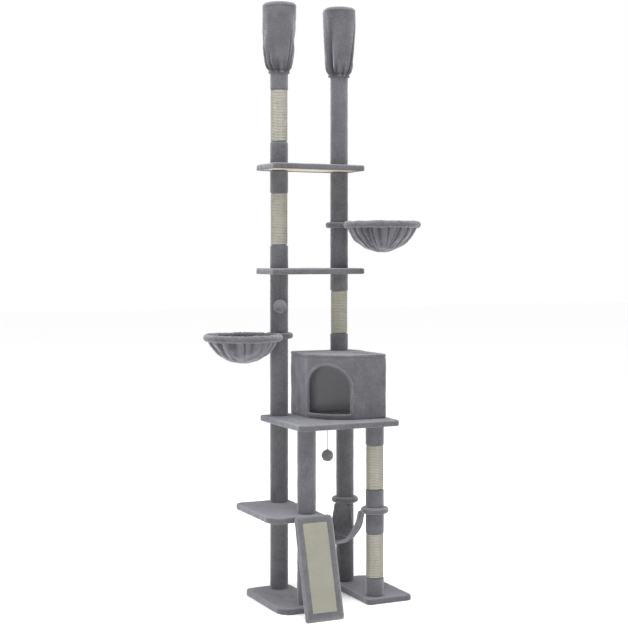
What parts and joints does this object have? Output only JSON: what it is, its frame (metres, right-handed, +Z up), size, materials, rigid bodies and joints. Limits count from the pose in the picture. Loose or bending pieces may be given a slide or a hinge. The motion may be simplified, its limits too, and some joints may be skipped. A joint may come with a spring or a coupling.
{
  "type": "cat tree",
  "caption": "Tall floor-to-ceiling cat tree in grey plush with sisal scratching posts, shelves, a condo, hanging baskets, a hammock, a ramp, toy balls and ceiling jacks.",
  "frame": {"origin": "on the floor under the axis of the back left column", "axes": "+X from the back left column to the back right one, -Y to the front with the ramp, +Z up"},
  "size_m": [0.9508, 0.5839, 2.567],
  "materials": {
    "plush": "short pile plush",
    "plush_post": "paper tube in a plush sleeve",
    "plush_board": "particle board under plush",
    "particle_board": "bare pressed board",
    "sisal_rope": "wound sisal rope",
    "sisal_mat": "woven sisal mat",
    "zinc_steel": "zinc plated steel",
    "dark_cord": "braided elastic cord",
    "pale_cord": "twisted cotton cord"
  },
  "bodies": {
    "tree": {"big_platform_core": "particle_board", "big_platform_plush": "plush", "condo_back_wall": "plush_board", "condo_roof": "plush_board", "condo_wall": "plush_board", "deck_hinge_leaf": "zinc_steel", "door_piping": "plush", "hammock": "plush", "hammock_disc_c": "plush_board", "hammock_disc_d": "plush_board", "left_base": "plush_board", "left_jack_nut": "zinc_steel", "left_studs": "zinc_steel", "low_platform_core": "particle_board", "low_platform_plush": "plush", "lower_shelf_core": "particle_board", "lower_shelf_plush": "plush", "post_a1": "plush_post", "post_a2": "plush_post", "post_a3": "plush_post", "post_a4": "plush_post", "post_a5": "plush_post", "post_a6": "plush_post", "post_b1": "plush_post", "post_b2": "plush_post", "post_c1": "plush_post", "post_c2": "plush_post", "post_d1": "plush_post", "post_d2": "plush_post", "post_e1": "plush_post", "post_e2": "plush_post", "post_e3": "plush_post", "post_e4": "plush_post", "right_base": "plush_board", "right_jack_nut": "zinc_steel", "right_studs": "zinc_steel", "sisal_a5": "sisal_rope", "sisal_a6": "sisal_rope", "sisal_d1": "sisal_rope", "sisal_d2": "sisal_rope", "sisal_e1": "sisal_rope", "upper_shelf_core": "particle_board", "upper_shelf_plush": "plush"},
    "left_basket": {"left_basket_arm": "plush_board", "left_basket_hoop": "zinc_steel", "left_basket_bowl": "plush"},
    "right_basket": {"right_basket_arm": "plush_board", "right_basket_hoop": "zinc_steel", "right_basket_bowl": "plush"},
    "ramp": {"ramp_board": "plush_board", "ramp_mat": "sisal_mat", "ramp_hinge_leaf": "zinc_steel"},
    "left_jack": {"left_jack_screw": "zinc_steel", "left_ceiling_cover": "plush"},
    "right_jack": {"right_jack_screw": "zinc_steel", "right_ceiling_cover": "plush"},
    "high_cord": {"high_ball_cord": "dark_cord"},
    "high_ball": {"high_ball": "plush"},
    "low_cord": {"low_ball_cord": "pale_cord"},
    "low_ball": {"low_ball": "plush"}
  },
  "joints": [
    {"name": "ramp_hinge", "type": "hinge", "parent": "tree", "child": "ramp", "pos_m": [-0.008, -0.35, 0.394], "axis": [-1, 0, 0], "range_deg": [0, 70]},
    {"name": "left_basket_swivel", "type": "hinge", "parent": "tree", "child": "left_basket", "pos_m": [0, 0, 1.1225], "axis": [0, 0, 1], "range_deg": [-60, 60]},
    {"name": "right_basket_swivel", "type": "hinge", "parent": "tree", "child": "right_basket", "pos_m": [0.291, 0, 1.6055], "axis": [0, 0, 1], "range_deg": [-65, 80]},
    {"name": "left_jack_slide", "type": "slide", "parent": "tree", "child": "left_jack", "axis": [0, 0, 1], "range_m": [-0.18, 0]},
    {"name": "right_jack_slide", "type": "slide", "parent": "tree", "child": "right_jack", "axis": [0, 0, 1], "range_m": [-0.18, 0]},
    {"name": "high_cord_swing", "type": "hinge", "parent": "tree", "child": "high_cord", "pos_m": [-0.044, -0.11, 1.3914], "axis": [0, 1, 0], "range_deg": [-40, 10]},
    {"name": "high_ball_swing", "type": "hinge", "parent": "high_cord", "child": "high_ball", "pos_m": [-0.044, -0.11, 1.284], "axis": [1, 0, 0], "range_deg": [-40, 25]},
    {"name": "low_cord_swing", "type": "hinge", "parent": "tree", "child": "low_cord", "pos_m": [0.137, -0.2, 0.7511], "axis": [0, 1, 0], "range_deg": [-35, 35]},
    {"name": "low_ball_swing", "type": "hinge", "parent": "low_cord", "child": "low_ball", "pos_m": [0.137, -0.2, 0.6463], "axis": [1, 0, 0], "range_deg": [-45, 45]}
  ]
}
